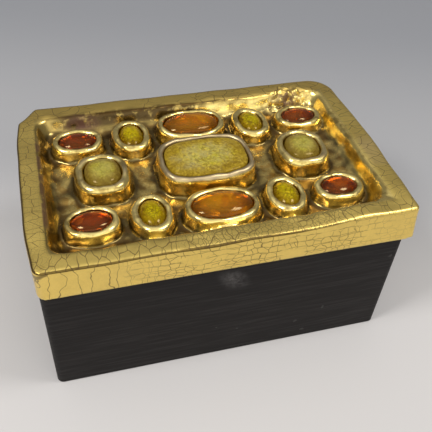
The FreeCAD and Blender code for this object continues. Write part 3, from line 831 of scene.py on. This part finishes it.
def round_level_edges(bm, z, radius):
    """Round the edges at a height where the tray's walls begin or end."""
    bm.normal_update()
    edges = [edge for edge in bm.edges if all(abs(vert.co.z - z) < 0.1 * MM for vert in edge.verts)
             and any(0.3 < face.normal.z < 0.9 for face in edge.link_faces)]
    bmesh.ops.bevel(bm, geom=edges, offset=radius, offset_type="OFFSET", segments=EDGE_SEGMENTS,
                    profile=0.5, affect="EDGES", material=-1)


def turn_of(edge):
    """Return the direction in which an edge lies, as seen from above the middle."""
    spot = edge.verts[0].co
    return math.atan2(spot.y, spot.x)


def round_corners(bm, tile):
    """Round the slab's upright edges, and clip the one at the back left."""
    upright = [edge for edge in bm.edges if abs(edge.verts[0].co.z - edge.verts[1].co.z) > 1 * MM]
    outer = [edge for edge in upright if min(vert.co.z for vert in edge.verts) < TILE_LOW.z + MM]
    inner = [edge for edge in upright if edge not in outer]
    outer_rounds = (tile.left_round, tile.right_round, tile.back_round, tile.clipped_leg)
    inner_rounds = (tile.tray_round, tile.wide_round, tile.tray_round, tile.tray_round)
    for edges, rounds in ((outer, outer_rounds), (inner, inner_rounds)):
        for edge, radius in zip(sorted(edges, key=turn_of), rounds):
            segments = 1 if radius == tile.clipped_leg else ROUND_SEGMENTS
            bmesh.ops.bevel(bm, geom=[edge], offset=radius, offset_type="OFFSET", segments=segments,
                            profile=0.5, affect="EDGES", material=-1)
    lean_clipped_corner(bm, tile)


def lean_clipped_corner(bm, tile):
    """Make the clipped corner's cut shorter at the underside."""
    corner = Vector((TILE_LOW.x, TILE_HIGH.y, TILE_LOW.z))
    for vert in bm.verts:
        if (vert.co - corner).length < tile.clipped_leg + 3 * MM:
            if vert.co.y < corner.y - 5 * MM:
                vert.co.y += tile.clipped_lean
            else:
                vert.co.x -= tile.clipped_lean


def fuse(bm, voxel):
    """Fuse the shells of a bmesh into one skin of even grain."""
    mesh = bpy.data.meshes.new("raw_clay")
    bm.to_mesh(mesh)
    clay = bpy.data.objects.new("raw_clay", mesh)
    bpy.context.scene.collection.objects.link(clay)
    skin = clay.modifiers.new("fuse", "REMESH")
    skin.mode = "VOXEL"
    skin.voxel_size = voxel
    evaluated = clay.evaluated_get(bpy.context.evaluated_depsgraph_get())
    fused = bpy.data.meshes.new_from_object(evaluated)
    bm.clear()
    bm.from_mesh(fused)
    bpy.data.objects.remove(clay)
    bpy.data.meshes.remove(mesh)
    bpy.data.meshes.remove(fused)


def soften(bm, rounds):
    """Smooth the clay a few times."""
    for _ in range(rounds):
        bmesh.ops.smooth_vert(bm, verts=bm.verts, factor=0.5, use_axis_x=True, use_axis_y=True,
                              use_axis_z=True)


def ease(value, start, end):
    """Return a smooth rise from 0 at start to 1 at end."""
    part = min(1.0, max(0.0, (value - start) / (end - start)))
    return part * part * (3 - 2 * part)


def end_shift(spot, tile):
    """Return how far the bows of the left and right ends move a spot along x."""
    left = tile.left_bow * ease(abs(spot.y), 20 * MM, 55 * MM) * ease(-spot.x, 70 * MM, 79 * MM)
    right = tile.right_bow * ease(spot.x, 70 * MM, 78 * MM) * (1 - ease(abs(spot.y), 0.0, 52 * MM))
    return left + right


def rim_lift(spot, tile):
    """Return how far the rim rises at a spot, towards the front right corner."""
    rim_z = rim_height(tile)
    along_front = ease(-spot.y, 36 * MM, 44 * MM) * ease(spot.x, 25 * MM, 60 * MM)
    along_right = ease(spot.x, 65 * MM, 73 * MM) * ease(-spot.y, -45 * MM, 46 * MM)
    return tile.rim_rise * ease(spot.z, rim_z - 4 * MM, rim_z) * max(along_front, along_right)


def crawl_lift(spot):
    """Return how far the crawled glaze stands up or sinks at a spot."""
    away = math.hypot((spot.x - CRAWL_X) / CRAWL_STRETCH, spot.y - CRAWL_Y)
    return CRAWL_HEIGHT * (1 - ease(away, *CRAWL_FADE)) * noise.noise(spot / CRAWL_GRAIN)


def shape_by_hand(bm, tile):
    """Move the clay as a hand would: waves, bowed ends, a raised rim, lumps and a crawled patch."""
    low, high = CAD_BOX
    noise.seed_set(HAND_SEED)
    for vert in bm.verts:
        spot = vert.co.copy()
        free = ease(spot.z, TILE_LOW.z, TILE_LOW.z + 3 * MM)
        in_tray = ((1 - ease(abs(spot.x), 66 * MM, 71 * MM))
                   * (1 - ease(abs(spot.y), 42 * MM, 46 * MM)))
        vert.co += noise.noise_vector(spot / WAVE_SIZE) * tile.unevenness * free
        vert.co += noise.noise_vector(spot / LUMP_SIZE) * tile.lumps * in_tray * free
        vert.co.x += end_shift(spot, tile)
        vert.co.z += rim_lift(spot, tile) + crawl_lift(spot) * free
        vert.co = (min(max(vert.co.x, low.x), high.x), min(max(vert.co.y, low.y), high.y),
                   min(vert.co.z, high.z))


def mark_surface(bm):
    """Store how far each spot lies below its surroundings and how much it faces up."""
    hollow = bm.verts.layers.float.new(HOLLOW)
    upward = bm.verts.layers.float.new(UPWARD)
    bm.normal_update()
    around = bm.copy()
    soften(around, HOLLOW_ROUNDS)
    for vert, smoothed in zip(bm.verts, around.verts):
        vert[hollow] = (smoothed.co - vert.co).dot(vert.normal)
        vert[upward] = vert.normal.z
    around.free()


def level_underside(bm):
    """Make the underside one flat face."""
    under = [face for face in bm.faces
             if face.normal.z < -0.9 and face.calc_center_median().z < TILE_LOW.z + 1 * MM]
    bmesh.ops.dissolve_faces(bm, faces=under, use_verts=True)
    for vert in bm.verts:
        if vert.co.z < TILE_LOW.z + 0.3 * MM:
            vert.co.z = TILE_LOW.z


class MakeLidTile(bpy.types.Operator):
    """Shape the ceramic lid tile with its tray and collars"""

    bl_idname = "jewel_box.make_lid_tile"
    bl_label = "Make lid tile"

    def execute(self, context):
        tile = context.scene.tile_sizes
        bm = bmesh.new()
        add_slab(bm, tile)
        for kind, stones in STONE_KINDS.items():
            for node in stones["nodes"]:
                add_collar(bm, node, kind, tile)
        fuse(bm, tile.voxel)
        soften(bm, CLAY_ROUNDS)
        shape_by_hand(bm, tile)
        mark_surface(bm)
        level_underside(bm)
        piece = new_piece("gilded_lid_tile", bm, gilded_glaze(tile, context.scene.gilding_colours))
        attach(piece, "lid")
        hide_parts("lid_tile")
        return {"FINISHED"}


def cut_stone(node, kind):
    """Return a bmesh of one stone: a swelled ball cut flat at its seat."""
    low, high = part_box(node)
    shares = STONE_KINDS[kind]
    bm = bmesh.new()
    bmesh.ops.create_uvsphere(bm, u_segments=STONE_SEGMENTS, v_segments=STONE_RINGS, radius=1.0)
    place = bm.verts.layers.float_vector.new(IN_STONE)
    for vert in bm.verts:
        vert.co = swell(vert.co, shares["plan_share"], shares["dome_share"])
        vert[place] = vert.co
    bmesh.ops.bisect_plane(bm, geom=bm.verts[:] + bm.edges[:] + bm.faces[:],
                           plane_co=(0, 0, -SEAT_SHARE), plane_no=(0, 0, 1), clear_inner=True)
    bmesh.ops.holes_fill(bm, edges=[edge for edge in bm.edges if edge.is_boundary])
    size = high - low
    bmesh.ops.translate(bm, verts=bm.verts, vec=(0, 0, SEAT_SHARE))
    bmesh.ops.scale(bm, verts=bm.verts, vec=(size.x / 2, size.y / 2, size.z / (1 + SEAT_SHARE)))
    bmesh.ops.translate(bm, verts=bm.verts, vec=((low.x + high.x) / 2, (low.y + high.y) / 2, low.z))
    return bm


class SetStones(bpy.types.Operator):
    """Cut the glass stones and set them in their collars"""

    bl_idname = "jewel_box.set_stones"
    bl_label = "Set stones"

    def execute(self, context):
        colours = context.scene.stone_colours
        for kind, shares in STONE_KINDS.items():
            material = glass(kind, colours)
            for node in shares["nodes"]:
                piece = new_piece(f"glass_{node}", cut_stone(node, kind), material)
                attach(piece, "lid")
                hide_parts(node)
        return {"FINISHED"}


class StainBox(bpy.types.Operator):
    """Stain the wooden boards of the box and the lid"""

    bl_idname = "jewel_box.stain_box"
    bl_label = "Stain box"

    def execute(self, context):
        colours = context.scene.wood_colours
        long_grain = stained_wood("brushed_long_boards", colours, smudged=True)
        short_grain = stained_wood("brushed_short_boards", colours, along_y=True)
        inner = stained_wood("inner_boards", colours)
        for name in LONG_BOARDS:
            dress_node(name, long_grain)
        for name in SHORT_BOARDS:
            dress_node(name, short_grain)
        for name in INNER_BOARDS:
            dress_node(name, inner)
        return {"FINISHED"}


class LayLining(bpy.types.Operator):
    """Lay the felt lining on the bottom panel"""

    bl_idname = "jewel_box.lay_lining"
    bl_label = "Lay lining"

    def execute(self, context):
        size = LINING_HIGH - LINING_LOW
        bm = bmesh.new()
        bmesh.ops.create_grid(bm, x_segments=round(size.x / FELT_GRID),
                              y_segments=round(size.y / FELT_GRID), size=0.5)
        bmesh.ops.scale(bm, verts=bm.verts, vec=(size.x, size.y, 1))
        bmesh.ops.translate(bm, verts=bm.verts, vec=(0, 0, LINING_LOW.z))
        bmesh.ops.solidify(bm, geom=bm.faces[:], thickness=-FELT_SHARE * size.z)
        for vert in bm.verts:
            if vert.co.z > LINING_LOW.z + FELT_SHARE / 2 * size.z:
                vert.co.z += NAP_SHARE * size.z * noise.noise(vert.co / NAP_SIZE)
        piece = new_piece("felt_lining", bm, felt_cloth(context.scene.wood_colours))
        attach(piece, "box")
        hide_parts("floor_lining")
        return {"FINISHED"}


def add_softbox(name, place, width, power):
    """Add one square softbox that points at the box."""
    lamp = bpy.data.lights.new(name, "AREA")
    lamp.shape = "SQUARE"
    lamp.size = width
    lamp.energy = power
    softbox = bpy.data.objects.new(name, lamp)
    softbox.location = place
    aim = Vector(SOFTBOX_AIM) - Vector(place)
    softbox.rotation_euler = aim.to_track_quat("-Z", "Y").to_euler()
    bpy.context.scene.collection.objects.link(softbox)


def add_camera(look):
    """Add the camera where the photograph was taken."""
    camera = bpy.data.objects.new("camera", bpy.data.cameras.new("camera"))
    camera.data.lens = look.lens
    camera.data.sensor_width = SENSOR_WIDTH
    turn = Matrix.Identity(4)
    for degrees, axis in ((CAMERA_HEADING, "Z"), (CAMERA_TILT, "X"), (CAMERA_ROLL, "Z")):
        turn = turn @ Matrix.Rotation(math.radians(degrees), 4, axis)
    camera.matrix_world = Matrix.Translation(CAMERA_PLACE) @ turn
    bpy.context.scene.collection.objects.link(camera)
    bpy.context.scene.camera = camera


class SetStage(bpy.types.Operator):
    """Set up the floor, the light and the camera"""

    bl_idname = "jewel_box.set_stage"
    bl_label = "Set stage"

    def execute(self, context):
        look = context.scene.stage_look
        bm = bmesh.new()
        bmesh.ops.create_grid(bm, x_segments=2, y_segments=2, size=FLOOR_REACH)
        new_piece("studio_floor", bm, pale_floor(look))
        for name, (place, power) in SOFTBOXES.items():
            add_softbox(name, place, look.lamp_width, power)
        context.scene.world = grey_room(look)
        context.scene.view_settings.view_transform = "Standard"
        add_camera(look)
        return {"FINISHED"}


class JewelBoxPanel(bpy.types.Panel):
    """The steps that dress the box, in order"""

    bl_idname = "VIEW3D_PT_jewel_box"
    bl_label = "Jewelled box"
    bl_space_type = "VIEW_3D"
    bl_region_type = "UI"
    bl_category = "Jewelled box"

    def draw(self, context):
        for step in STEPS:
            self.layout.operator(step.bl_idname)


STEPS = (SetStage, StainBox, LayLining, MakeLidTile, SetStones)
GROUPS = {
    "tile_sizes": TileSizes,
    "gilding_colours": GildingColours,
    "stone_colours": StoneColours,
    "wood_colours": WoodColours,
    "stage_look": StageLook,
}


def register():
    """Register the property groups, the operators and the panel."""
    for name, group in GROUPS.items():
        bpy.utils.register_class(group)
        setattr(bpy.types.Scene, name, PointerProperty(type=group))
    for step in (*STEPS, JewelBoxPanel):
        bpy.utils.register_class(step)


def unregister():
    """Take everything back out."""
    for step in (JewelBoxPanel, *STEPS):
        bpy.utils.unregister_class(step)
    for name, group in GROUPS.items():
        delattr(bpy.types.Scene, name)
        bpy.utils.unregister_class(group)


def main():
    """Dress the box step by step."""
    register()
    bpy.ops.jewel_box.set_stage()
    bpy.ops.jewel_box.stain_box()
    bpy.ops.jewel_box.lay_lining()
    bpy.ops.jewel_box.make_lid_tile()
    bpy.ops.jewel_box.set_stones()


if __name__ == "__main__":
    main()
